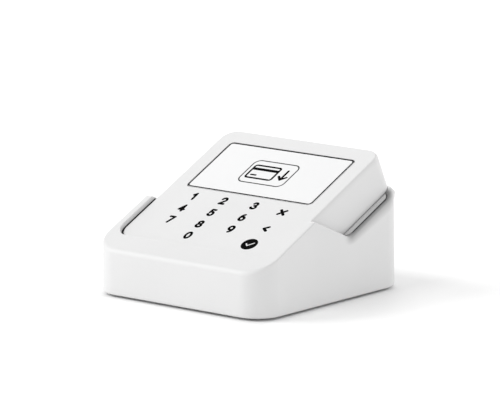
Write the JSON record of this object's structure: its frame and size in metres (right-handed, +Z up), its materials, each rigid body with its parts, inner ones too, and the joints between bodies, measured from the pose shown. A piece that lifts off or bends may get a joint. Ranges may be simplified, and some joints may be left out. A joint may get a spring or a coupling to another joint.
{
  "type": "card payment terminal",
  "caption": "Square card reader with a display above a touch keypad, seated at a tilt in a wedge-shaped charging cradle.",
  "frame": {"origin": "on the table, under the middle of the cradle", "axes": "+X to the customer's right, +Y to the back, +Z up"},
  "size_m": [0.0922, 0.0956, 0.0581],
  "materials": {
    "white_plastic": "fine satin moulded plastic",
    "lens": "clear gloss over a white display",
    "grey_plastic": "fine matt moulded plastic",
    "black_plastic": "matt black",
    "rubber": "soft matt",
    "steel": "satin",
    "gold": "gold plated",
    "circuit_board": "green solder resist",
    "foil": "satin foil",
    "copper": "copper on film",
    "print": "matt black printing"
  },
  "bodies": {
    "cradle": {"outer_shell": "white_plastic", "inner_tray": "grey_plastic", "base_plate": "white_plastic", "foot_1": "rubber", "foot_2": "rubber", "foot_3": "rubber", "foot_4": "rubber", "base_screw_1": "steel", "base_screw_2": "steel", "base_screw_3": "steel", "base_screw_4": "steel", "ballast_plate": "steel", "pin_housing": "black_plastic", "contact_board": "circuit_board", "inlet_board": "circuit_board", "cradle_inlet": "steel", "jumper_cable": "rubber"},
    "reader": {"front_cover": "white_plastic", "rear_cover": "white_plastic", "display_lens": "lens", "display_gasket": "black_plastic", "lcd_panel": "black_plastic", "backlight": "white_plastic", "touch_sensor": "copper", "antenna_coil": "copper", "main_board": "circuit_board", "security_shield": "foil", "radio_module": "foil", "battery": "foil", "coin_cell": "steel", "buzzer": "black_plastic", "power_switch": "steel", "card_connector": "black_plastic", "reader_socket": "steel", "contact_pad_1": "gold", "contact_pad_2": "gold", "contact_pad_3": "gold", "contact_pad_4": "gold", "reader_screw_1": "steel", "reader_screw_2": "steel", "reader_screw_3": "steel", "reader_screw_4": "steel"},
    "power_button": {"power_button": "grey_plastic"},
    "contact_pin_1": {"contact_pin_1": "gold"},
    "contact_pin_2": {"contact_pin_2": "gold"},
    "contact_pin_3": {"contact_pin_3": "gold"},
    "contact_pin_4": {"contact_pin_4": "gold"}
  },
  "joints": [
    {"name": "reader_lift", "type": "slide", "parent": "cradle", "child": "reader", "axis": [0, -0.4305, 0.9026], "range_m": [0, 0.06]},
    {"name": "power_button_press", "type": "slide", "parent": "reader", "child": "power_button", "axis": [1, 0, 0], "range_m": [0, 0.0006], "stiffness_N_per_m": 600, "springref_m": -0.0003},
    {"name": "contact_pin_1_press", "type": "slide", "parent": "cradle", "child": "contact_pin_1", "axis": [0, -0.4305, 0.9026], "range_m": [-0.0009, 0], "stiffness_N_per_m": 200, "springref_m": 0.0005},
    {"name": "contact_pin_2_press", "type": "slide", "parent": "cradle", "child": "contact_pin_2", "axis": [0, -0.4305, 0.9026], "range_m": [-0.0009, 0], "stiffness_N_per_m": 200, "springref_m": 0.0005},
    {"name": "contact_pin_3_press", "type": "slide", "parent": "cradle", "child": "contact_pin_3", "axis": [0, -0.4305, 0.9026], "range_m": [-0.0009, 0], "stiffness_N_per_m": 200, "springref_m": 0.0005},
    {"name": "contact_pin_4_press", "type": "slide", "parent": "cradle", "child": "contact_pin_4", "axis": [0, -0.4305, 0.9026], "range_m": [-0.0009, 0], "stiffness_N_per_m": 200, "springref_m": 0.0005}
  ]
}
